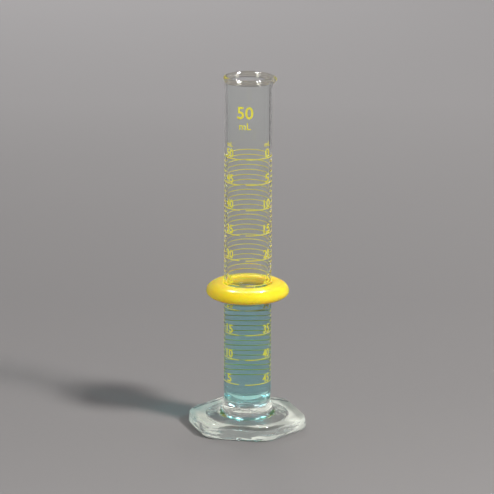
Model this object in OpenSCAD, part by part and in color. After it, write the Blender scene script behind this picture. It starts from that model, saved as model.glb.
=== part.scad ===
// A 50 mL graduated cylinder: a glass tube with a rounded rim and a pouring spout, fused to a
// hexagonal pressed-glass foot, with a double enamel scale, a loose plastic bumper ring and
// coloured water inside. Millimetres. The table is z = 0, the tube's axis is Z, and the
// reading side of the scale faces -Y.

/* [Tube] */
// Outside diameter of the glass tube
tube_od = 24.5; // [23:0.5:28]
// Thickness of the tube's wall
tube_wall = 1.35; // [1.2:0.05:1.8]
// Thickness of the glass across the closed end
end_thick = 1.65; // [1.2:0.05:3]
// Inside corner radius at the closed end
end_corner_r = 5.5; // [3:0.5:7]
// How far the fused end bulges beyond the tube, on the radius
heel_bulge = 1; // [0.4:0.1:1.5]
// Height over which the bulge fades into the straight tube
heel_h = 7; // [4:0.5:10]

/* [Rim and spout] */
// Distance from the top graduation up to the rim
headroom = 42; // [30:1:60]
// How far the bead stands out beyond the tube, on the radius
bead_out = 0.6; // [0.3:0.1:1.2]
// Thickness of the rounded bead that finishes the rim
bead_t = 1.9; // [1.6:0.1:2.4]
// Height of the flare that leads up to the bead
flare_h = 4.2; // [3.4:0.2:6]
// How far the lip of the spout reaches beyond the bead
spout_reach = 1.7; // [0.6:0.1:3]
// How far the lip of the spout dips below the rim
spout_dip = 0.5; // [0:0.1:1]
// How far down the tube the throat of the spout begins
spout_h = 7.5; // [6.5:0.5:12]
// Angle round the rim that the spout takes up, in degrees
spout_angle = 66; // [50:2:90]

/* [Scale] */
// Capacity at the top graduation, in millilitres
capacity_ml = 50; // [40:5:60]
// Lowest graduation, in millilitres
first_ml = 5; // [5:5:15]
// Millilitres from one numbered line to the next
major_step_ml = 5; // [5:5:10]
// Height of an enamel line
line_w = 0.45; // [0.3:0.05:0.7]
// Thickness of the enamel
enamel_t = 0.08; // [0.05:0.01:0.15]
// Gap at the front of a numbered line, in degrees
major_gap = 15; // [5:1:40]
// Middle of that gap, in degrees to the right of the front
major_gap_turn = -13; // [-40:1:40]
// Blank stretch at the front of a plain line, in degrees
minor_gap = 140; // [90:5:180]

/* [Foot] */
// Width of the hexagonal foot across its flats
foot_flats = 56.6; // [52:0.2:66]
// Radius of the foot's six corners, seen from above
foot_corner_r = 10; // [6:1:14]
// Height of the foot's rim
foot_rim_h = 7.4; // [6.6:0.2:9]
// Radius of the upper edge of the rim
foot_top_edge_r = 1.8; // [1:0.1:2.4]
// Radius of the lower edge of the rim
foot_low_edge_r = 1.2; // [0.6:0.1:1.8]
// How far the side of the rim leans in from bottom to top
foot_draft = 0.3; // [0:0.1:0.6]
// Height of the fused seat above the rim
seat_rise = 1.8; // [1:0.1:3]
// Width of the fillet round the seat
seat_fillet = 3.8; // [2:0.2:5]
// Diameter of the hollow under the foot
hollow_d = 43.6; // [38:0.2:46]
// Height of the hollow at its middle
hollow_h = 5.2; // [4.6:0.1:5.6]
// How far the hollow's ceiling falls towards its edge
hollow_crown = 0.8; // [0.4:0.1:1.2]
// Angle from +X to the nearest corner of the hexagon, in degrees
foot_turn = -11; // [-30:1:30]

/* [Bumper guard] */
// Outside diameter of the guard ring
guard_od = 43.2; // [36:0.2:50]
// Height of the guard ring
guard_h = 8; // [6:0.5:12]
// Height of the ring's widest part above its underside
guard_waist = 3.1; // [2.6:0.1:3.4]
// Running gap between the enamel and the guard's bore, on the radius
guard_clear = 0.27; // [0.2:0.01:0.5]
// Radius of the edges of the guard's bore
guard_edge_r = 1.2; // [0.6:0.1:1.6]
// Width from the bore to where the crown starts to fall away
crown_land = 2; // [1.8:0.1:3]
// Width from the bore to where the underside starts to rise
sole_land = 3.9; // [2:0.1:5]
// Height of the guard's underside above the table
guard_z = 70.1; // [20:1:165]

/* [Contents] */
// Volume of coloured water in the tube, in millilitres
fill_ml = 23.2; // [10:0.1:45]
// How far the water climbs at the wall
meniscus_h = 0.9; // [0.4:0.1:1.4]
// Width over which the water climbs
meniscus_w = 2.6; // [1.6:0.2:4]
// Gap that keeps the water's solid clear of the glass
wet_gap = 0.02; // [0.01:0.01:0.05]

/* [Hidden] */
$fn = 96;

SIDES = 6;
FRONT = -90;
SPOUT_AT = 0;
SPOUT_STEPS = 16;
PLAIN_RIM_STEPS = 48;
LET_IN_DEPTH = 0.4;
LET_IN_SKIN = 0.03;
FOOT_STEPS = 20;

tube_r = tube_od / 2;
bore_r = tube_r - tube_wall;
heel_r = tube_r + heel_bulge;
heel_edge_r = 0.8;
seat_z = foot_rim_h + seat_rise;
floor_z = seat_z + end_thick;

// The scale is worked out from the bore: one millilitre is this high in the straight part, and
// the rounded closed end holds corner_loss less than a square one would.
bore_area = PI * pow(bore_r, 2);
ml_h = 1000 / bore_area;
corner_loss = 2 * PI * (pow(end_corner_r, 2) * (bore_r - end_corner_r / 2)
    - PI / 4 * pow(end_corner_r, 2) * (bore_r - end_corner_r) - pow(end_corner_r, 3) / 3);
zero_z = floor_z + corner_loss / bore_area;
function mark_z(ml) = zero_z + ml * ml_h;

rim_z = mark_z(capacity_ml) + headroom;
throat_z = rim_z - spout_h;
bead_r = bead_t / 2;

guard_bore_r = tube_r + enamel_t + guard_clear;
guard_r = guard_od / 2;
foot_apothem = foot_flats / 2;
hollow_r = hollow_d / 2;

// A smooth step from 0 to 1, and the matching bump that is 1 in the middle and 0 at both ends.
function ease(t) = t * t * (3 - 2 * t);
function bump(u) = (1 + cos(180 * u)) / 2;

// Points of an elliptical arc in the half-section, as [radius, height].
function arc(cx, cz, a, b, from, to, n) =
    [for (i = [0:n]) let (t = from + (to - from) * i / n) [cx + a * cos(t), cz + b * sin(t)]];

// Points strictly between p and s on a cubic curve that leaves towards q and arrives from r.
function curve(p, q, r, s, n) =
    [for (i = [1:n - 1]) let (t = i / n, w = 1 - t)
        w * w * w * p + 3 * w * w * t * q + 3 * w * t * t * r + t * t * t * s];

// Tube: straight wall, rounded closed end, fused heel, flared rim and spout

module tube_body() {
    fade_z = seat_z + heel_edge_r;
    closed_end = arc(bore_r - end_corner_r, floor_z + end_corner_r, end_corner_r, end_corner_r,
        -90, 0, 12);
    heel = concat(
        arc(heel_r - heel_edge_r, fade_z, heel_edge_r, heel_edge_r, -90, 0, 5),
        [for (i = [1:8]) let (t = i / 8)
            [heel_r - heel_bulge * ease(t), fade_z + (heel_h - heel_edge_r) * t]]
    );
    rotate_extrude()
        polygon(concat([[0, floor_z]], closed_end, [[bore_r, throat_z], [tube_r, throat_z]],
            [for (i = [len(heel) - 1:-1:0]) heel[i]], [[0, seat_z]]));
}

// Half-section of the rim, where k is 0 on the plain rim and 1 in the middle of the spout. Its
// foot is a hair thinner than the wall and is let into it, so the faces of the two cross.
function rim_section(k) =
    let (
        inner_r = bore_r + LET_IN_SKIN,
        outer_r = tube_r - LET_IN_SKIN,
        foot_z = throat_z - LET_IN_DEPTH,
        c = [tube_r + bead_out - bead_r + spout_reach * k, rim_z - bead_r - spout_dip * k],
        start_z = rim_z - flare_h - (spout_h - flare_h - 0.5) * k,
        lift = (c[1] - start_z) / 2,
        under = [c[0] + bead_r * cos(-50), c[1] + bead_r * sin(-50)],
        inside = [c[0] + bead_r * cos(215), c[1] + bead_r * sin(215)]
    )
    concat(
        [[inner_r, foot_z], [inner_r, start_z]],
        curve([inner_r, start_z], [inner_r, start_z + lift], inside - [0.2 + k, lift / 2], inside, 5),
        arc(c[0], c[1], bead_r, bead_r, 215, -50, 9),
        curve(under, under - [0.1 + k, lift / 2], [outer_r, start_z + lift], [outer_r, start_z], 6),
        [[outer_r, start_z], [outer_r, foot_z]]
    );

// The rim is a loft of half-sections round the mouth, swelling into the spout.
module rim_and_spout() {
    half = spout_angle / 2;
    turns = concat(
        [for (i = [0:SPOUT_STEPS - 1]) -half + spout_angle * i / SPOUT_STEPS],
        [for (i = [0:PLAIN_RIM_STEPS - 1]) half + (360 - spout_angle) * i / PLAIN_RIM_STEPS]
    );
    sections = [for (a = turns) rim_section(a < half ? bump(a / half) : 0)];
    n = len(turns);
    m = len(sections[0]);
    points = [for (i = [0:n - 1]) for (p = sections[i])
        [p[0] * cos(SPOUT_AT + turns[i]), p[0] * sin(SPOUT_AT + turns[i]), p[1]]];
    polyhedron(points, [for (i = [0:n - 1]) for (j = [0:m - 1])
        let (next = (i + 1) % n, k = (j + 1) % m)
        each [
            [i * m + j, next * m + k, i * m + k],
            [i * m + j, next * m + j, next * m + k]
        ]]);
}

module glass_tube() {
    color([0.82, 0.88, 0.88, 0.45]) union() {
        tube_body();
        rim_and_spout();
    }
}

// Foot: hexagonal rim, raised seat and hollow underside

// Distance from the middle to a rounded hexagon, at an angle from one of its flats' normals.
function hex_reach(angle, inset) =
    let (
        a = foot_apothem - inset,
        c = foot_corner_r - inset,
        t = abs(((angle + 30 + 360) % 60) - 30),
        d = (a - c) / cos(30),
        tangent = atan((a - c) * tan(30) / a)
    )
    t <= tangent ? a / cos(t) : d * cos(30 - t) + sqrt(pow(c, 2) - pow(d * sin(30 - t), 2));

// Rows of the foot's skin from the bottom up, as [inset, height, roundness, radius]: a row is a
// hexagon at roundness 0 and a circle of the given radius at roundness 1.
function foot_rows() =
    let (
        low = foot_low_edge_r,
        top = foot_top_edge_r,
        shoulder = foot_draft + top,
        fillet_r = heel_r + seat_fillet
    )
    concat(
        [for (p = arc(low, low, low, low, 270, 180, 3)) [p[0], p[1], 0, 0]],
        [for (p = arc(shoulder, foot_rim_h - top, top, top, 180, 90, 4)) [p[0], p[1], 0, 0]],
        [[shoulder, foot_rim_h, 0.5, fillet_r]],
        [for (p = arc(fillet_r, seat_z, seat_fillet, seat_rise, 270, 180, 5)) [0, p[1], 1, p[0]]]
    );

module foot_skin() {
    rows = foot_rows();
    n = SIDES * FOOT_STEPS;
    points = [for (w = rows) for (i = [0:n - 1])
        let (
            angle = 360 * i / n,
            reach = w[2] == 1 ? w[3] : hex_reach(angle + 30, w[0]) * (1 - w[2]) + w[3] * w[2]
        )
        [reach * cos(angle), reach * sin(angle), w[1]]];
    skin = [for (k = [0:len(rows) - 2]) for (i = [0:n - 1])
        let (a = k * n + i, b = k * n + (i + 1) % n)
        each [[a, a + n, b + n], [a, b + n, b]]];
    under = [for (i = [0:n - 1]) i];
    seat = [for (i = [n - 1:-1:0]) (len(rows) - 1) * n + i];
    polyhedron(points, concat(skin, [under, seat]));
}

// The hollow has a gently crowned ceiling and a rounded edge.
module foot_hollow() {
    edge_r = 2.4;
    wall_h = hollow_h - hollow_crown;
    crown_r = (pow(hollow_r - edge_r, 2) + pow(hollow_crown, 2)) / (2 * hollow_crown);
    crown_angle = asin((hollow_r - edge_r) / crown_r);
    rotate_extrude()
        polygon(concat(
            [[0, -1], [hollow_r, -1]],
            arc(hollow_r - edge_r, wall_h - edge_r, edge_r, edge_r, 0, 90, 6),
            [for (p = arc(0, hollow_h - crown_r, crown_r, crown_r, 90 - crown_angle, 90, 5))
                if (p[0] < hollow_r - edge_r - 0.01) p]
        ));
}

module hex_foot() {
    color([0.85, 0.9, 0.88, 0.6])
        rotate([0, 0, foot_turn]) difference() {
            foot_skin();
            foot_hollow();
        }
}

// Guard: a soft ring that slides on the tube

module bumper_guard() {
    top = guard_z + guard_h;
    waist = guard_z + guard_waist;
    edge = guard_edge_r;
    crown_r = guard_bore_r + crown_land;
    sole_r = guard_bore_r + sole_land;
    color([1, 0.84, 0.02]) rotate_extrude()
        polygon(concat(
            arc(guard_bore_r + edge, guard_z + edge, edge, edge, 180, 270, 5),
            arc(sole_r, waist, guard_r - sole_r, guard_waist, 270, 360, 10),
            [for (p = arc(crown_r, waist, guard_r - crown_r, guard_h - guard_waist, 0, 90, 12))
                if (p[1] > waist) p],
            arc(guard_bore_r + edge, top - edge, edge, edge, 90, 180, 5)
        ));
}

// Scale: enamel lines fired onto the outside of the tube

module enamel_arc(ml, from, sweep) {
    translate([0, 0, mark_z(ml) - line_w / 2])
        rotate([0, 0, from])
            rotate_extrude(angle = sweep)
                translate([tube_r, 0])
                    square([enamel_t, line_w]);
}

module major_lines() {
    from = FRONT + major_gap_turn + major_gap / 2;
    color([0.93, 0.8, 0.1])
        for (ml = [first_ml:major_step_ml:capacity_ml])
            enamel_arc(ml, from, 360 - major_gap);
}

module minor_lines() {
    color([0.93, 0.8, 0.1])
        for (ml = [first_ml:capacity_ml])
            if ((ml - first_ml) % major_step_ml != 0)
                enamel_arc(ml, FRONT + minor_gap / 2, 360 - minor_gap);
}

// Contents

module coloured_water() {
    r = bore_r - wet_gap;
    corner = end_corner_r - wet_gap;
    low = floor_z + wet_gap;
    level = mark_z(fill_ml);
    color([0.35, 0.62, 0.7, 0.6]) rotate_extrude()
        polygon(concat(
            [[0, low]],
            arc(r - corner, low + corner, corner, corner, -90, 0, 12),
            [for (i = [0:6]) let (t = i / 6) [r - meniscus_w * t, level + meniscus_h * pow(1 - t, 3)]],
            [[0, level]]
        ));
}

glass_tube();
hex_foot();
bumper_guard();
major_lines();
minor_lines();
coloured_water();
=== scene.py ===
"""A 50 mL graduated cylinder on its pressed-glass foot, nearly half full of blue water.

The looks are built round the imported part, in metres. The table is z = 0, the tube's axis is Z and
the reading side of the scale faces -Y. The named sizes are in millimetres, as in the part's source,
and their angles are in degrees. Places of lights, cards and camera are in metres.
"""

import math

import bmesh
import bpy
import numpy as np
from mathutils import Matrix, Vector


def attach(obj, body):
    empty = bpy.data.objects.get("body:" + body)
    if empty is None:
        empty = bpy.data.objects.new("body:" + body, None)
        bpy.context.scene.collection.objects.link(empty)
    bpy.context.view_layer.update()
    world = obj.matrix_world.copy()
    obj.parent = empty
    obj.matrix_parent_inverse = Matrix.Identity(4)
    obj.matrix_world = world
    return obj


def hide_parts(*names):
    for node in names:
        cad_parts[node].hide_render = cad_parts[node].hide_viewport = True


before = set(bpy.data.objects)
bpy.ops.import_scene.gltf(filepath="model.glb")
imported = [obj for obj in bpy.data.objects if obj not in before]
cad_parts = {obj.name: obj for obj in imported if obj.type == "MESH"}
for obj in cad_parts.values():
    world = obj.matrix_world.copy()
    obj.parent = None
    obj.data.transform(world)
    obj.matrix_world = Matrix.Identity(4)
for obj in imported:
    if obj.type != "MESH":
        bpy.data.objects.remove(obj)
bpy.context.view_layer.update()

MM = 0.001
# The reading side's angle round the axis.
FRONT = -90.0
# Heights this close count as the same.
LEVEL = 0.0001

# Sizes of the tube. The rim's bead is an arc from low outside over the top to low inside, and below it the
# walls of the flare lean out a little. The rim is melted down to MELTED_H under its top.

TUBE_R = 12.25
BORE_R = 10.9
SEAT_Z = 9.2
FLOOR_Z = 10.85
END_CORNER_R = 5.5
HEEL_R = 13.25
HEEL_EDGE_R = 0.8
HEEL_H = 7.0
ML_H = 1000 / (math.pi * BORE_R**2)
ZERO_Z = 11.907
RIM_Z = 187.2
BEAD_R = 1.15
BEAD_OUT = 0.7
BEAD_ARC = (-50.0, 215.0)
FLARE_H = 4.2
OUTER_LEAN = 0.1
INNER_LEAN = 0.2
MELTED_H = 3.03
SPOUT_REACH = 1.7
SPOUT_DIP = 0.5
SPOUT_H = 7.0
SPOUT_HALF_ANGLE = 33.0
TUBE_STEPS = 192

# Sizes of the foot. FOOT_TURN is the angle of one of its corners. The faces under GROUND_H are its ground
# ring, and those farther out than SIDE_R that don't look up are its sides.

FOOT_APOTHEM = 28.3
FOOT_CORNER_R = 10.0
FOOT_RIM_H = 7.4
FOOT_TOP_EDGE_R = 2.7
FOOT_LOW_EDGE_R = 1.2
FOOT_DRAFT = 0.3
FOOT_TURN = -11.0
SEAT_RISE = 1.8
SEAT_FILLET = 3.8
HOLLOW_R = 21.8
HOLLOW_H = 5.2
HOLLOW_CROWN = 0.8
HOLLOW_EDGE_R = 1.0
GROUND_H = 0.1
SIDE_R = 24.8
FOOT_STEPS = 240

# Sizes of the guard, with the scar of its gate on the left shoulder

GUARD_BORE_R = 12.37
GUARD_R = 21.6
GUARD_Z = 70.1
GUARD_H = 8.0
GUARD_WAIST = 3.1
GUARD_EDGE_R = 1.2
CROWN_LAND = 2.23
SOLE_LAND = 4.13
GATE_ANGLE = 178.0
GATE_HALF_ANGLE = 5.0
GATE_DEPTH = 0.7
GATE_EASE_H = 0.6
GATE_ABOVE_WAIST = 0.5
GATE_OUTSIDE_CROWN = 3.0

# Sizes of the scale. The angles are from the front, to the right, and the lifts are above a line.

LINE_W = 0.45
ENAMEL_T = 0.08
ENAMEL_ROOT = 0.04
FIGURE_T = 0.072
FIRST_ML = 5
LAST_ML = 50
STEP_ML = 5
GAP_ANGLE = -13.0
GAP_W = 15.0
PLAIN_FROM = 70.0
NUMERAL_H = 4.5
DIGIT_W = 3.2
PAIR_W = 5.0
LEFT_COLUMN = -50.0
RIGHT_COLUMN = 52.5
NUMERAL_LIFT = 2.8
UNIT_H = 2.4
UNIT_LIFT = 7.4
CAPACITY_COLUMN = -8.0
CAPACITY_H = 6.5
CAPACITY_LIFT = 24.5
CAPACITY_UNIT_H = 3.6
CAPACITY_UNIT_LIFT = 17.5
LETTER_STRIP = 0.4

# Sizes of the water. It reaches a hair into the glass, so that no air shows between them.

FILL_ML = 23.2
MENISCUS_H = 0.9
MENISCUS_W = 2.6
WET_OVERLAP = 0.03

# Shapes


def mark_z(ml):
    """Height of a graduation."""
    return ZERO_Z + ml * ML_H


def ease(part):
    """Goes from 0 to 1 with level ends."""
    return part * part * (3 - 2 * part)


def swell(off):
    """A smooth bulge: 1 where off is 0, falling to 0 where off is 1 or more."""
    return (1 + np.cos(np.pi * np.minimum(off, 1))) / 2


def arc(centre, radii, start, end, steps):
    """Points of an arc in the half-section, as (radius, height). An ellipse has a pair of radii."""
    turns = np.radians(np.linspace(start, end, steps + 1))
    return np.add(centre, np.column_stack([np.cos(turns), np.sin(turns)]) * radii)


def bezier(start, leaving, arriving, end, steps):
    """Points strictly between the ends of a cubic curve."""
    done = (np.arange(1, steps) / steps)[:, None]
    left = 1 - done
    return left**3 * start + 3 * left**2 * done * leaving + 3 * left * done**2 * arriving + done**3 * end


def turned(section, angles):
    """Rings from one half-section, turned round the axis."""
    turns = np.radians(angles)
    reach = section[:, :1]
    heights = np.broadcast_to(section[:, 1:], (len(section), len(turns)))
    return np.stack([reach * np.cos(turns), reach * np.sin(turns), heights], axis=2)


def skin(name, rings, tube=False):
    """A closed mesh through rings of points, in millimetres, that each run round +Z.

    The first and last ring are poles, or join each other where tube is true.
    """
    rings = np.asarray(rings) * MM
    rows, steps = rings.shape[:2]
    sides = [(step, (step + 1) % steps) for step in range(steps)]
    if tube:
        points = rings.reshape(-1, 3)
        first = [row * steps for row in range(rows)] + [0]
        faces = []
    else:
        points = np.concatenate([rings[:1, 0], rings[1:-1].reshape(-1, 3), rings[-1:, 0]])
        first = [1 + row * steps for row in range(rows - 2)]
        last = len(points) - 1
        faces = [(0, first[0] + after, first[0] + here) for here, after in sides]
        faces += [(last, first[-1] + here, first[-1] + after) for here, after in sides]
    for low, high in zip(first, first[1:]):
        faces += [(low + here, low + after, high + after, high + here) for here, after in sides]
    mesh = bpy.data.meshes.new(name)
    mesh.from_pydata(points.tolist(), [], faces)
    mesh.update()
    return mesh


pieces = []


def piece(name, mesh, body, slot, *materials, replaces=(), crease=40):
    """Puts a finished mesh on its body, with its materials and soft shading between its creases."""
    for material in materials:
        mesh.materials.append(material)
    mesh.shade_smooth()
    mesh.set_sharp_from_angle(angle=math.radians(crease))
    obj = bpy.data.objects.new(name, mesh)
    bpy.context.scene.collection.objects.link(obj)
    pieces.append(obj)
    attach(obj, body)
    if replaces:
        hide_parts(*replaces)
    return obj


# Materials


def linear(code):
    """An sRGB hex colour as linear RGBA."""
    rgb = [int(code[i : i + 2], 16) / 255 for i in (0, 2, 4)]
    return [c / 12.92 if c <= 0.04045 else ((c + 0.055) / 1.055) ** 2.4 for c in rgb] + [1.0]


def put(tree, kind, props=(), values=(), links=(), stops=()):
    """Adds a node with its settings, socket values, links from other nodes' outputs and ramp stops."""
    node = tree.nodes.new(kind)
    for key, value in dict(props).items():
        setattr(node, key, value)
    for key, value in dict(values).items():
        node.inputs[key].default_value = value
    for key, output in dict(links).items():
        tree.links.new(output, node.inputs[key])
    for _ in stops[2:]:
        node.color_ramp.elements.new(1.0)
    for index, (position, colour) in enumerate(stops):
        node.color_ramp.elements[index].position = position
        node.color_ramp.elements[index].color = linear(colour)
    return node


def finish(name, **sockets):
    """A material with a Principled shader, whose constants are set on its own sockets."""
    material = bpy.data.materials.new(name)
    material.use_nodes = True
    shader = material.node_tree.nodes["Principled BSDF"]
    for key, value in sockets.items():
        shader.inputs[key.replace("_", " ")].default_value = value
    return material


def blotches(material, width, detail, height=None, roughness=0.5):
    """A pattern of soft blotches, of this width in millimetres, and of this height where it differs."""
    tree = material.node_tree
    across = 1 / (width * MM)
    up = 1 / ((height or width) * MM)
    place = put(tree, "ShaderNodeTexCoord")
    spread = put(
        tree,
        "ShaderNodeMapping",
        values={"Scale": (across, across, up)},
        links={"Vector": place.outputs["Object"]},
    )
    noise = put(
        tree,
        "ShaderNodeTexNoise",
        values={"Scale": 1.0, "Detail": detail, "Roughness": roughness},
        links={"Vector": spread.outputs[0]},
    )
    return noise.outputs[0]


def relief(material, pattern, strength, depth):
    """Lets a pattern catch the light as a shallow relief, of this depth in millimetres."""
    tree = material.node_tree
    bump = put(
        tree,
        "ShaderNodeBump",
        values={"Strength": strength, "Distance": depth * MM},
        links={"Height": pattern},
    )
    tree.links.new(bump.outputs[0], tree.nodes["Principled BSDF"].inputs["Normal"])


def colouring(material, pattern, *stops):
    """Colours a finish along a pattern, from stops of position and sRGB colour."""
    tree = material.node_tree
    ramp = put(tree, "ShaderNodeValToRGB", links={"Fac": pattern}, stops=stops)
    tree.links.new(ramp.outputs[0], tree.nodes["Principled BSDF"].inputs["Base Color"])


def clear(material, shade):
    """Lets lamp light through a see-through finish, with the tint it takes on the way."""
    tree = material.node_tree
    path = put(tree, "ShaderNodeLightPath")
    shader = tree.nodes["Principled BSDF"]
    passed = put(tree, "ShaderNodeBsdfTransparent", values={"Color": linear(shade)})
    mix = put(
        tree,
        "ShaderNodeMixShader",
        links={0: path.outputs["Is Shadow Ray"], 1: shader.outputs[0], 2: passed.outputs[0]},
    )
    tree.links.new(mix.outputs[0], tree.nodes["Material Output"].inputs["Surface"])


# Drawn borosilicate tubing: clear, fire-polished, with very faint lengthwise draw lines.
tubing = finish(
    "drawn_borosilicate", Base_Color=linear("FAFCFB"), Transmission_Weight=1.0, IOR=1.47, Roughness=0.0
)
relief(tubing, blotches(tubing, width=1.43, height=35.7, detail=2.0), strength=0.2, depth=0.01)
clear(tubing, "FBFCFC")

# The rim is the same glass, melted into a bead, so it is a little wavy. Its faint warmth is painted light:
# a tint that stands for the yellow light that the enamel sends up the wall.
fire_polished = finish(
    "fire_polished_rim", Base_Color=linear("FFFDF2"), Transmission_Weight=1.0, IOR=1.47, Roughness=0.0
)
relief(fire_polished, blotches(fire_polished, width=4.167, detail=1.0), strength=0.3, depth=0.1)
clear(fire_polished, "FBFCFC")

# Pressed glass: thick and clear, its skin a little wavy from the mould.
pressed = finish(
    "pressed_glass", Base_Color=linear("FAFEFC"), Transmission_Weight=1.0, IOR=1.5, Roughness=0.0
)
relief(pressed, blotches(pressed, width=6.25, detail=1.5, roughness=0.4), strength=0.6, depth=0.6)
clear(pressed, "F2F4F2")

# The drafted sides of the foot are the same glass, drawn into level ripples as the mould opened, with a
# little haze. The ripples are set deeper than real ones, so that they show from the camera.
drafted = finish(
    "pressed_glass_side", Base_Color=linear("FAFEFC"), Transmission_Weight=0.86, IOR=1.5, Roughness=0.0
)
relief(drafted, blotches(drafted, width=11.11, height=2.381, detail=1.5), strength=0.8, depth=3.0)
clear(drafted, "8E928F")

# Ground glass: the flat ring that the foot stands on is ground level, and its fine matt skin scatters
# light. Its grit is drawn coarser than it is, so that it shows.
ground = finish("ground_glass", Base_Color=linear("FFFFF8"), Specular_IOR_Level=0.0, Roughness=0.9)
relief(ground, blotches(ground, width=1.43, detail=3.0), strength=0.4, depth=0.1)

# The tube and the foot are fused into one glass, so nothing shows where their solids meet.
fused = finish("fused_seat", Alpha=0.0)

# Moulded soft PVC: glossy, slightly see-through, with a faint orange depth where light enters.
pvc = finish(
    "moulded_pvc",
    Roughness=0.15,
    IOR=1.53,
    Subsurface_Weight=1.0,
    Subsurface_Radius=(1.0, 0.55, 0.1),
    Subsurface_Scale=0.012,
)
colouring(pvc, blotches(pvc, width=16.67, detail=3.0), (0.3, "FFCE22"), (0.7, "FFDC3E"))
relief(pvc, blotches(pvc, width=2.381, detail=2.0), strength=0.25, depth=0.03)

# Fired enamel: yellow, low gloss, thin enough to let a little light through, with the unevenness of the
# printing screen, drawn coarser than it is so that it shows.
enamel = finish(
    "fired_enamel",
    Alpha=0.88,
    Roughness=0.35,
    IOR=1.5,
    Subsurface_Weight=0.8,
    Subsurface_Radius=(1.0, 0.8, 0.2),
    Subsurface_Scale=0.0004,
)
colouring(enamel, blotches(enamel, width=0.4, detail=2.0), (0.35, "F0DC3A"), (0.65, "FFF05A"))

# Water with a blue-green dye: clear, and it takes the red out of what shows through it.
water = finish(
    "dyed_water", Base_Color=linear("FFFFFF"), Transmission_Weight=1.0, IOR=1.333, Roughness=0.0
)
clear(water, "BCCECE")
tree = water.node_tree
dye = put(tree, "ShaderNodeVolumeAbsorption", values={"Color": linear("00F2FF"), "Density": 28.0})
tree.links.new(dye.outputs[0], tree.nodes["Material Output"].inputs["Volume"])

# Painted board of the table: matt and pale. Its colour ramp is painted light and shade: paler toward its
# near and far edges and darker in a band just behind the object, for how the studio light falls across it.
# Its colours run from 0.5 m in front of the object to 1.5 m behind it.
board = finish("matt_board", Roughness=0.9, IOR=1.4)
tree = board.node_tree
place = put(tree, "ShaderNodeTexCoord")
along = put(tree, "ShaderNodeSeparateXYZ", links={"Vector": place.outputs["Object"]})
metres = put(
    tree,
    "ShaderNodeMapRange",
    values={"From Min": -0.5, "From Max": 1.5},
    links={"Value": along.outputs["Y"]},
)
# The ramp paints the table's light and shade along its depth, not a tone of the board itself.
colouring(
    board,
    metres.outputs[0],
    (0.0, "A6A4A5"),
    (0.15, "A6A4A5"),
    (0.28, "9C9A9B"),
    (0.37, "9B999A"),
    (0.485, "A2A0A1"),
    (0.63, "AAA8A9"),
    (1.0, "A3A1A2"),
)
relief(board, blotches(board, width=1.111, detail=2.0), strength=0.3, depth=0.1)

# What hangs round the stage: pale card that glows a little, and a dark cloth.
pale_card = finish(
    "pale_card",
    Base_Color=linear("000000"),
    Roughness=1.0,
    Emission_Color=linear("FFFFFF"),
    Emission_Strength=0.42,
)
flag_cloth = finish("black_cloth", Base_Color=linear("141414"), Roughness=1.0)

# Glass tube

around = np.arange(TUBE_STEPS) * 360 / TUBE_STEPS


def rim_curve(pull):
    """Half-section of the rim, from the outside wall over the bead to the bore.

    pull is how far the rim is drawn out: 1 in the spout's middle and 0 beside it.
    """
    centre = np.array([TUBE_R + BEAD_OUT - BEAD_R + SPOUT_REACH * pull, RIM_Z - BEAD_R - SPOUT_DIP * pull])
    start_z = RIM_Z - FLARE_H - (SPOUT_H - FLARE_H) * pull
    lift = (centre[1] - start_z) / 2
    up = np.array([0, lift])
    inner = np.array([BORE_R, start_z])
    outer = np.array([TUBE_R, start_z])
    bead = arc(centre, BEAD_R, *BEAD_ARC, steps=18)
    return np.concatenate([
        [outer],
        bezier(outer, outer + up, bead[0] - [OUTER_LEAN + pull, lift / 2], bead[0], steps=10),
        bead,
        bezier(bead[-1], bead[-1] - [INNER_LEAN + pull, lift / 2], inner + up, inner, steps=10),
        [inner],
    ])


heel_z = SEAT_Z + HEEL_EDGE_R
fade = np.linspace(0, 1, 13)[1:]
below = np.concatenate([
    [[0, SEAT_Z]],
    arc((HEEL_R - HEEL_EDGE_R, heel_z), HEEL_EDGE_R, -90, 0, steps=8),
    np.column_stack([HEEL_R - (HEEL_R - TUBE_R) * ease(fade), heel_z + (HEEL_H - HEEL_EDGE_R) * fade]),
])
above = np.concatenate([
    arc((BORE_R - END_CORNER_R, FLOOR_Z + END_CORNER_R), END_CORNER_R, 0, -90, steps=20),
    [[0, FLOOR_Z]],
])
columns = []
for angle in around:
    off = abs((angle + 180) % 360 - 180) / SPOUT_HALF_ANGLE
    section = np.concatenate([below, rim_curve(swell(off)), above])
    columns.append(turned(section, [angle])[:, 0])
tube_mesh = skin("glass_tube_wall", np.stack(columns, axis=1))
tube = piece(
    "glass_tube_wall",
    tube_mesh,
    "cylinder",
    "tube_glass",
    tubing,
    fused,
    fire_polished,
    replaces=["glass_tube"],
)
for face in tube_mesh.polygons:
    height = face.center.z / MM
    if height < SEAT_Z + LEVEL:
        face.material_index = 1
    elif height > RIM_Z - MELTED_H:
        face.material_index = 2

# Hexagonal foot

foot_around = np.arange(FOOT_STEPS) * 360 / FOOT_STEPS


def hex_reach(angles, inset):
    """Distance from the middle to a rounded hexagon, at angles from one of its flats' normals."""
    apothem = FOOT_APOTHEM - inset
    corner_r = FOOT_CORNER_R - inset
    off = np.abs((angles + 30) % 60 - 30)
    centre = (apothem - corner_r) / math.cos(math.radians(30))
    tangent = math.degrees(math.atan((apothem - corner_r) * math.tan(math.radians(30)) / apothem))
    turns = np.radians(30 - off)
    corner = centre * np.cos(turns) + np.sqrt(np.maximum(corner_r**2 - (centre * np.sin(turns)) ** 2, 0))
    return np.where(off <= tangent, apothem / np.cos(np.radians(off)), corner)


def foot_ring(z, inset=0, roundness=0, radius=0):
    """A ring of the foot: the inset hexagon at roundness 0, a circle at 1, and their blend in between."""
    reach = hex_reach(foot_around + 30, inset) * (1 - roundness) + radius * roundness
    turns = np.radians(foot_around + FOOT_TURN)
    return np.column_stack([reach * np.cos(turns), reach * np.sin(turns), np.full(len(turns), z)])


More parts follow.
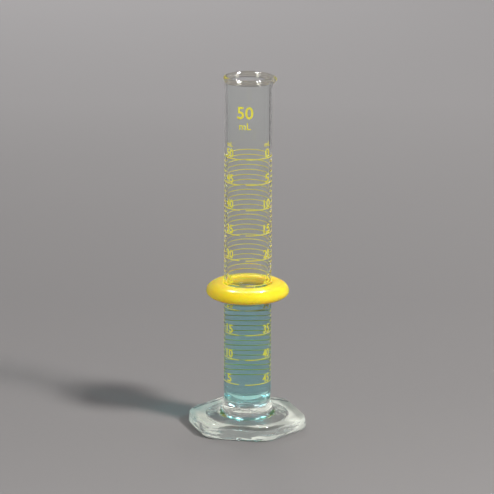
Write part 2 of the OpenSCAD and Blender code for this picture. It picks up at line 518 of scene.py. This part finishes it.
wall_h = HOLLOW_H - HOLLOW_CROWN
flat_r = HOLLOW_R - HOLLOW_EDGE_R
crown_r = (flat_r**2 + HOLLOW_CROWN**2) / (2 * HOLLOW_CROWN)
crown_angle = math.degrees(math.asin(flat_r / crown_r))
hollow = np.concatenate([
    arc((0, HOLLOW_H - crown_r), crown_r, 90, 90 - crown_angle, steps=8)[:-1],
    arc((flat_r, wall_h - HOLLOW_EDGE_R), HOLLOW_EDGE_R, 90, 0, steps=10),
    [[HOLLOW_R, 0]],
])
shoulder = FOOT_DRAFT + FOOT_TOP_EDGE_R
low_edge = arc((FOOT_LOW_EDGE_R, FOOT_LOW_EDGE_R), FOOT_LOW_EDGE_R, 270, 180, steps=6)
top_edge = arc((shoulder, FOOT_RIM_H - FOOT_TOP_EDGE_R), FOOT_TOP_EDGE_R, 180, 90, steps=10)
fillet_r = HEEL_R + SEAT_FILLET
fillet = arc((fillet_r, SEAT_Z), (SEAT_FILLET, SEAT_RISE), 270, 180, steps=12)
rings = [foot_ring(z, roundness=1, radius=r) for r, z in hollow]
rings += [foot_ring(z, inset) for inset, z in low_edge]
rings += [foot_ring(z, inset) for inset, z in top_edge]
rings += [foot_ring(FOOT_RIM_H, shoulder, roundness, fillet_r) for roundness in (0.25, 0.5, 0.75)]
rings += [foot_ring(z, roundness=1, radius=r) for r, z in fillet]
rings.append(foot_ring(SEAT_Z, roundness=1))
foot_mesh = skin("pressed_foot", rings)
piece(
    "pressed_foot",
    foot_mesh,
    "cylinder",
    "foot_glass",
    pressed,
    fused,
    ground,
    drafted,
    replaces=["hex_foot"],
)
for face in foot_mesh.polygons:
    height = face.center.z / MM
    if height > SEAT_Z - LEVEL:
        face.material_index = 1
    elif height < GROUND_H:
        face.material_index = 2
    elif face.center.xy.length > SIDE_R * MM and face.normal.z < 0.5:
        face.material_index = 3

# Bumper guard

top = GUARD_Z + GUARD_H
waist = GUARD_Z + GUARD_WAIST
crown = GUARD_BORE_R + CROWN_LAND
sole = GUARD_BORE_R + SOLE_LAND
bore_edge = GUARD_BORE_R + GUARD_EDGE_R
section = np.concatenate([
    arc((bore_edge, GUARD_Z + GUARD_EDGE_R), GUARD_EDGE_R, 180, 270, steps=8),
    arc((sole, waist), (GUARD_R - sole, GUARD_WAIST), 270, 360, steps=16),
    arc((crown, waist), (GUARD_R - crown, GUARD_H - GUARD_WAIST), 0, 90, steps=24)[1:],
    arc((bore_edge, top - GUARD_EDGE_R), GUARD_EDGE_R, 90, 180, steps=8),
])
rings = turned(section, around)
# The gate scar is a small nick, left where the moulding was cut from its sprue.
scar = GATE_DEPTH * swell(np.abs(around - GATE_ANGLE) / GATE_HALF_ANGLE)
turns = np.radians(around)
for ring, (r, z) in zip(rings, section):
    rise = z - waist - GATE_ABOVE_WAIST
    if rise > 0 and r > crown + GATE_OUTSIDE_CROWN:
        depth = scar * min(1, rise / GATE_EASE_H)
        ring[:, 0] -= depth * np.cos(turns)
        ring[:, 1] -= depth * np.sin(turns)
guard_mesh = skin("bumper_ring", rings, tube=True)
guard = piece("bumper_ring", guard_mesh, "guard", "guard_plastic", pvc, replaces=["bumper_guard"])

# Enamel lines


def graduation_tree():
    """Geometry nodes for a stack of enamel arcs round the tube, one above the other."""
    tree = bpy.data.node_groups.new("graduation_arcs", "GeometryNodeTree")
    inputs = [
        ("Lines", "Int"), ("Lowest Height", "Float"), ("Spacing", "Float"), ("Left Out Every", "Int"),
        ("Radius", "Float"), ("Start Angle", "Float"), ("Sweep", "Float"),
        ("Line Height", "Float"), ("Enamel Thickness", "Float"), ("Steps", "Int"), ("Enamel", "Material"),
    ]
    for name, kind in inputs:
        tree.interface.new_socket(name=name, in_out="INPUT", socket_type="NodeSocket" + kind)
    tree.interface.new_socket(name="Arcs", in_out="OUTPUT", socket_type="NodeSocketGeometry")
    given = put(tree, "NodeGroupInput").outputs
    lowest = put(tree, "ShaderNodeCombineXYZ", links={"Z": given["Lowest Height"]})
    spacing = put(tree, "ShaderNodeCombineXYZ", links={"Z": given["Spacing"]})
    heights = put(
        tree,
        "GeometryNodeMeshLine",
        props={"mode": "OFFSET"},
        links={"Count": given["Lines"], "Start Location": lowest.outputs[0], "Offset": spacing.outputs[0]},
    )
    index = put(tree, "GeometryNodeInputIndex")
    turn = put(
        tree,
        "ShaderNodeMath",
        props={"operation": "MODULO"},
        links={0: index.outputs[0], 1: given["Left Out Every"]},
    )
    numbered = put(
        tree,
        "FunctionNodeCompare",
        props={"data_type": "FLOAT", "operation": "LESS_THAN"},
        values={1: 0.5},
        links={0: turn.outputs[0]},
    )
    used = put(
        tree,
        "FunctionNodeCompare",
        props={"data_type": "INT", "operation": "GREATER_THAN"},
        values={3: 0},
        links={2: given["Left Out Every"]},
    )
    both = put(
        tree,
        "FunctionNodeBooleanMath",
        props={"operation": "AND"},
        links={0: numbered.outputs[0], 1: used.outputs[0]},
    )
    plain = put(
        tree,
        "GeometryNodeDeleteGeometry",
        props={"domain": "POINT"},
        links={"Geometry": heights.outputs[0], "Selection": both.outputs[0]},
    )
    path = put(
        tree,
        "GeometryNodeCurveArc",
        props={"mode": "RADIUS"},
        links={
            "Resolution": given["Steps"],
            "Radius": given["Radius"],
            "Start Angle": given["Start Angle"],
            "Sweep Angle": given["Sweep"],
        },
    )
    level = put(
        tree, "GeometryNodeSetCurveNormal", props={"mode": "Z_UP"}, links={"Curve": path.outputs[0]}
    )
    bead = put(tree, "GeometryNodeCurvePrimitiveCircle", values={"Resolution": 8, "Radius": 0.5})
    size = put(
        tree,
        "ShaderNodeCombineXYZ",
        values={"Z": 1.0},
        links={"X": given["Enamel Thickness"], "Y": given["Line Height"]},
    )
    flat = put(
        tree, "GeometryNodeTransform", links={"Geometry": bead.outputs[0], "Scale": size.outputs[0]}
    )
    solid = put(
        tree,
        "GeometryNodeCurveToMesh",
        values={"Fill Caps": True},
        links={"Curve": level.outputs[0], "Profile Curve": flat.outputs[0]},
    )
    copies = put(
        tree,
        "GeometryNodeInstanceOnPoints",
        links={"Points": plain.outputs[0], "Instance": solid.outputs[0]},
    )
    real = put(tree, "GeometryNodeRealizeInstances", links={"Geometry": copies.outputs[0]})
    inked = put(
        tree, "GeometryNodeSetMaterial", links={"Geometry": real.outputs[0], "Material": given["Enamel"]}
    )
    put(tree, "NodeGroupOutput", links={"Arcs": inked.outputs[0]})
    return tree


arcs = graduation_tree()


def graduations(name, replaces, **sizes):
    """Makes a set of enamel arcs with the graduation tree, as a plain mesh on the cylinder."""
    holder = bpy.data.objects.new("graduation_holder", bpy.data.meshes.new("graduation_holder"))
    bpy.context.scene.collection.objects.link(holder)
    modifier = holder.modifiers.new("arcs", "NODES")
    modifier.node_group = arcs
    for item in arcs.interface.items_tree:
        if item.in_out == "INPUT":
            modifier[item.identifier] = sizes[item.name.replace(" ", "_")]
    evaluated = holder.evaluated_get(bpy.context.evaluated_depsgraph_get())
    mesh = bpy.data.meshes.new_from_object(evaluated)
    bpy.data.objects.remove(holder)
    mesh.name = name
    mesh.materials.clear()
    return piece(name, mesh, "cylinder", "scale_enamel", enamel, replaces=[replaces], crease=60)


arc_sizes = {
    "Lowest_Height": mark_z(FIRST_ML) * MM,
    "Radius": TUBE_R * MM,
    "Line_Height": LINE_W * MM,
    "Enamel_Thickness": 2 * ENAMEL_T * MM,
    "Enamel": enamel,
}
# The numbered lines run all round, but for a gap left of the front.
graduations(
    "numbered_lines",
    "major_lines",
    Lines=(LAST_ML - FIRST_ML) // STEP_ML + 1,
    Spacing=STEP_ML * ML_H * MM,
    Left_Out_Every=0,
    Start_Angle=math.radians(FRONT + GAP_ANGLE + GAP_W / 2),
    Sweep=math.radians(360 - GAP_W),
    Steps=97,
    **arc_sizes,
)
# The plain lines keep to the rear, and leave out the numbered ones.
graduations(
    "plain_lines",
    "minor_lines",
    Lines=LAST_ML - FIRST_ML + 1,
    Spacing=ML_H * MM,
    Left_Out_Every=STEP_ML,
    Start_Angle=math.radians(FRONT + PLAIN_FROM),
    Sweep=math.radians(360 - 2 * PLAIN_FROM),
    Steps=65,
    **arc_sizes,
)

# Numerals and units


def lettering(text, height, width=None):
    """A text as a thin solid in millimetres, centred on its own middle, with x along the line.

    It is drawn in letters 10 units tall, with strokes a little fuller than the typeface's own. Then it
    takes its height, and its width where one is given, and is cut into strips, so that it can bend
    round the tube.
    """
    curve = bpy.data.curves.new("lettering", "FONT")
    curve.body = text
    curve.size = 10
    curve.align_x = "CENTER"
    curve.resolution_u = 3
    curve.extrude = 0.5
    curve.offset = 0.13
    holder = bpy.data.objects.new("lettering", curve)
    bpy.context.scene.collection.objects.link(holder)
    mesh = bpy.data.meshes.new_from_object(holder.evaluated_get(bpy.context.evaluated_depsgraph_get()))
    bpy.data.objects.remove(holder)
    bm = bmesh.new()
    bm.from_mesh(mesh)
    bpy.data.meshes.remove(mesh)
    bmesh.ops.remove_doubles(bm, verts=bm.verts, dist=1e-4)
    drawn = np.array([v.co for v in bm.verts])
    low, high = drawn.min(0), drawn.max(0)
    up = height / (high[1] - low[1])
    along = width / (high[0] - low[0]) if width else up
    for v in bm.verts:
        v.co.x = (v.co.x - (low[0] + high[0]) / 2) * along
        v.co.y = (v.co.y - (low[1] + high[1]) / 2) * up
    half = (high[0] - low[0]) / 2 * along
    for x in np.arange(-half + LETTER_STRIP, half, LETTER_STRIP):
        bmesh.ops.bisect_plane(
            bm, geom=bm.verts[:] + bm.edges[:] + bm.faces[:], plane_co=(x, 0, 0), plane_no=(1, 0, 0)
        )
    return bm


def printed(name, marks):
    """Wraps letterings round the tube.

    Each mark is text, height, width, angle right of the front, and level.
    """
    points, faces = [], []
    for text, height, width, angle, z in marks:
        bm = lettering(text, height, width)
        bm.verts.index_update()
        base = len(points)
        for v in bm.verts:
            turn = math.radians(FRONT + angle) + v.co.x / TUBE_R
            r = TUBE_R + (FIGURE_T if v.co.z > 0 else -ENAMEL_ROOT)
            points.append((r * math.cos(turn) * MM, r * math.sin(turn) * MM, (z + v.co.y) * MM))
        faces += [[base + v.index for v in f.verts] for f in bm.faces]
        bm.free()
    mesh = bpy.data.meshes.new(name)
    mesh.from_pydata(points, [], faces)
    mesh.update()
    return piece(name, mesh, "cylinder", "scale_enamel", enamel, crease=30)


# One column counts up the tube, and the other counts down.
numerals = []
for ml in range(FIRST_ML, LAST_ML + 1, STEP_ML):
    for count, column in ((ml, LEFT_COLUMN), (LAST_ML - ml, RIGHT_COLUMN)):
        width = PAIR_W if count > 9 else DIGIT_W
        numerals.append((str(count), NUMERAL_H, width, column, mark_z(ml) + NUMERAL_LIFT))
printed("scale_numerals", numerals)
top_mark = mark_z(LAST_ML)
printed(
    "unit_marks",
    [
        ("mL", UNIT_H, None, LEFT_COLUMN, top_mark + UNIT_LIFT),
        ("mL", UNIT_H, None, RIGHT_COLUMN, top_mark + UNIT_LIFT),
        (str(LAST_ML), CAPACITY_H, None, CAPACITY_COLUMN, top_mark + CAPACITY_LIFT),
        ("mL", CAPACITY_UNIT_H, None, CAPACITY_COLUMN, top_mark + CAPACITY_UNIT_LIFT),
    ],
)

# Water

wet_r = BORE_R + WET_OVERLAP
corner_r = END_CORNER_R + WET_OVERLAP
bottom = FLOOR_Z - WET_OVERLAP
surface = mark_z(FILL_ML)
inward = np.linspace(0, 1, 13)
section = np.concatenate([
    [[0, bottom]],
    arc((wet_r - corner_r, bottom + corner_r), corner_r, -90, 0, steps=20),
    np.column_stack([wet_r - MENISCUS_W * inward, surface + MENISCUS_H * (1 - inward) ** 3]),
    [[0, surface]],
])
water_mesh = skin("blue_water", turned(section, around))
piece("blue_water", water_mesh, "cylinder", "water", water, replaces=["coloured_water"], crease=60)

# Table and sheets. Their places and sizes are in metres.

# The table is a wide disc. It lies a hair under the foot, so that no two faces coincide.
TABLE_R = 4.0
TABLE_GAP = 0.0001
bpy.ops.mesh.primitive_circle_add(vertices=128, radius=TABLE_R, fill_type="NGON")
table = bpy.context.object
table.name = "table_top"
table.data.materials.append(board)
table.location.z = -TABLE_GAP


def hide(obj, *rays):
    """Hides a light or a sheet from these kinds of ray."""
    for ray in rays:
        setattr(obj, "visible_" + ray, False)


def upright_sheet(name, azimuth, distance, height, size, material):
    """A sheet that stands upright and faces the object.

    Its azimuth runs clockwise, as seen from above, from straight behind the object.
    """
    turn = math.radians(azimuth)
    bpy.ops.mesh.primitive_plane_add(
        size=1.0,
        location=(distance * math.sin(turn), distance * math.cos(turn), height),
        rotation=(math.radians(90), 0, -turn),
    )
    sheet = bpy.context.object
    sheet.name = name
    sheet.scale = (*size, 1)
    sheet.data.materials.append(material)
    return sheet


# The flag draws the dark line inside the tube's right wall.
flag = upright_sheet(
    "black_flag", azimuth=43.07, distance=0.6297, height=0.05, size=(0.07, 0.1), material=flag_cloth
)
hide(flag, "camera", "diffuse", "shadow")

# Lights

# The point, half way up, that the lights and the camera face.
AIM = Vector((0, 0, 0.0965))


def soft_light(name, direction, distance, size, power, colour="FFFFFF"):
    """A soft box that faces the object, of this width and height."""
    lamp = bpy.data.lights.new(name, "AREA")
    lamp.shape = "RECTANGLE"
    lamp.size, lamp.size_y = size
    lamp.energy = power
    lamp.color = linear(colour)[:3]
    box = bpy.data.objects.new(name, lamp)
    direction = Vector(direction).normalized()
    box.location = AIM + direction * distance
    box.rotation_euler = direction.to_track_quat("Z", "Y").to_euler()
    bpy.context.scene.collection.objects.link(box)
    return box


def light_only(lamp, objects):
    """Lets a light reach nothing but these objects."""
    reached = bpy.data.collections.new("lit_by_" + lamp.name)
    for obj in objects:
        reached.objects.link(obj)
    lamp.light_linking.receiver_collection = reached


# The key light throws the soft shadow to the left. The two boxes behind make the highlights on the guard
# and the glass.
key = soft_light(
    "key_box", direction=(0.643, -0.434, 0.63), distance=2.6, size=(0.42, 0.42), power=64, colour="FFFDF8"
)
hide(key, "glossy")
high = soft_light("high_box", direction=(0.192, 0.456, 0.869), distance=1.3, size=(0.2, 0.22), power=12)
hide(high, "diffuse")
low = soft_light("low_box", direction=(-0.23, 0.48, 0.845), distance=1.3, size=(0.14, 0.2), power=5)
hide(low, "diffuse")

# Two fills brighten the object and leave the table as it is, and one brightens only the enamel.
printed_pieces = [item for item in pieces if enamel.name in item.data.materials]
for name, direction, power, lit in (
    ("front_fill", (-0.4, -0.6, 0.45), 18, pieces),
    ("back_fill", (0.4, 0.35, 0.85), 18, pieces),
    ("scale_fill", (-0.9, -0.3, 0.3), 16, printed_pieces),
):
    fill = soft_light(name, direction, distance=2.0, size=(1.0, 1.0), power=power)
    hide(fill, "glossy", "transmission")
    light_only(fill, lit)

# A small glow in the bore gives the guard the light that the glass would gather into it.
lamp = bpy.data.lights.new("bore_glow", "POINT")
lamp.energy = 0.008
lamp.color = linear("FFE0B0")[:3]
lamp.shadow_soft_size = 0.004
glow = bpy.data.objects.new("bore_glow", lamp)
glow.location = (0, -0.002, 0.084)
bpy.context.scene.collection.objects.link(glow)
hide(glow, "glossy", "transmission", "camera")
light_only(glow, [guard])

# A pale card at each side, seen only through glass, for the pale edges of the walls.
for side, azimuth in (("left", -62), ("right", 64)):
    card = upright_sheet(
        side + "_card", azimuth, distance=0.6, height=0.15, size=(0.25, 0.3), material=pale_card
    )
    hide(card, "camera", "diffuse", "glossy", "shadow")

# Two small windows that only the tube shows: the short white marks on its rim and heel.
for side, direction in (("right", (0.8, -0.42, 0.62)), ("left", (-0.62, -0.5, 0.62))):
    pane = soft_light(side + "_pane", direction, distance=1.2, size=(0.4, 0.5), power=50)
    light_only(pane, [tube])

# A far box that looks straight down and brightens only the table's far part.
far = soft_light("far_box", direction=(-0.2, 1.5, 0.8), distance=1.7, size=(0.5, 0.5), power=6.2)
far.rotation_euler = (0, 0, 0)
light_only(far, [table])

# The room: pale behind and at the sides, less so overhead, and darkest on the camera's side.
world = bpy.data.worlds.new("studio")
world.use_nodes = True
place = put(world.node_tree, "ShaderNodeTexCoord")
toward = put(
    world.node_tree,
    "ShaderNodeVectorMath",
    props={"operation": "DOT_PRODUCT"},
    values={1: (0.0, -0.6, 0.5)},
    links={0: place.outputs["Generated"]},
)
room = put(
    world.node_tree,
    "ShaderNodeValToRGB",
    links={"Fac": toward.outputs["Value"]},
    stops=((0.1, "9C9899"), (0.75, "3C3E42")),
)
sky = world.node_tree.nodes["Background"]
sky.inputs["Strength"].default_value = 0.85
world.node_tree.links.new(room.outputs[0], sky.inputs["Color"])
bpy.context.scene.world = world

# Camera. The picture's width and the shift of the tube's axis in it are in pixels.

PHOTO_W = 494
AXIS_SHIFT = -0.85
CAMERA_ROLL = 0.25
camera = bpy.data.objects.new("camera", bpy.data.cameras.new("camera"))
camera.data.sensor_width = 36
camera.data.lens = 253.1
camera.location = (0, -1.737, 0.5687)
camera.rotation_euler = (AIM - camera.location).to_track_quat("-Z", "Y").to_euler()
camera.rotation_euler.rotate_axis("Z", math.radians(CAMERA_ROLL))
camera.data.shift_x = AXIS_SHIFT / PHOTO_W
bpy.context.scene.collection.objects.link(camera)
bpy.context.scene.camera = camera

# The walls carry the enamel's yellow up and down through many bounces.
GLASS_BOUNCES = 64
cycles = bpy.context.scene.cycles
cycles.max_bounces = GLASS_BOUNCES
cycles.transmission_bounces = GLASS_BOUNCES
cycles.glossy_bounces = GLASS_BOUNCES
cycles.transparent_max_bounces = GLASS_BOUNCES
cycles.caustics_refractive = False
cycles.caustics_reflective = False
bpy.context.scene.view_settings.view_transform = "Standard"
